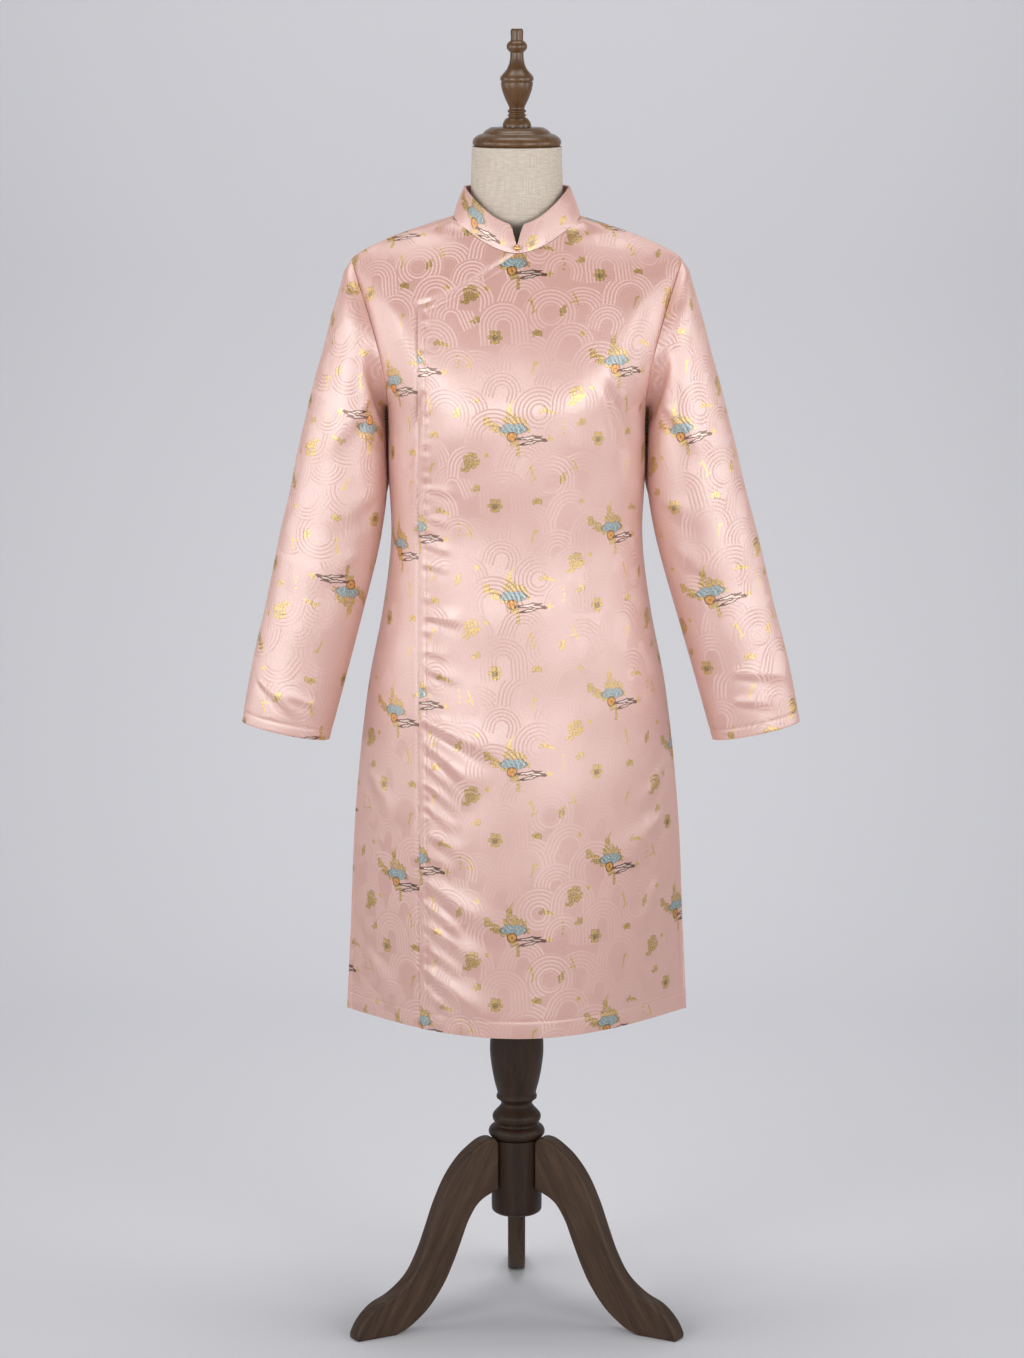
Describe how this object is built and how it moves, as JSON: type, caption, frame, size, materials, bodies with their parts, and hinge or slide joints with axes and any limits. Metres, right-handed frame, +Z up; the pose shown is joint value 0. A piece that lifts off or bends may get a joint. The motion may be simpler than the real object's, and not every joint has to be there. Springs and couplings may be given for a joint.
{
  "type": "ao dai on a limbless dress form with a wooden tripod stand",
  "caption": "Knee-length brocade ao dai with stand collar, slanted side closing and long sleeves, on a linen dress form with a turned wooden tripod stand.",
  "frame": {"origin": "centre of the part's box, on the floor that the three feet stand on", "axes": "+Z up, the wearer faces -Y, the wearer's right side is -X"},
  "size_m": [0.676, 0.385, 1.583],
  "materials": {
    "brocade": "pink satin brocade with tone-on-tone arcs and small gold and blue woven motifs",
    "bead": "small polished gold bead",
    "linen": "natural linen drawn smooth over the form",
    "dark_wood": "turned wood, dark walnut stain, satin varnish"
  },
  "bodies": {
    "root": {"over_front": "brocade", "under_front": "brocade", "back": "brocade", "sleeve_left": "brocade", "sleeve_right": "brocade", "collar": "brocade", "collar_button": "bead", "form_body": "linen", "neck_cap": "dark_wood", "finial": "dark_wood", "post": "dark_wood", "hub": "dark_wood", "leg_front_right": "dark_wood", "leg_front_left": "dark_wood", "leg_back": "dark_wood"}
  },
  "joints": []
}
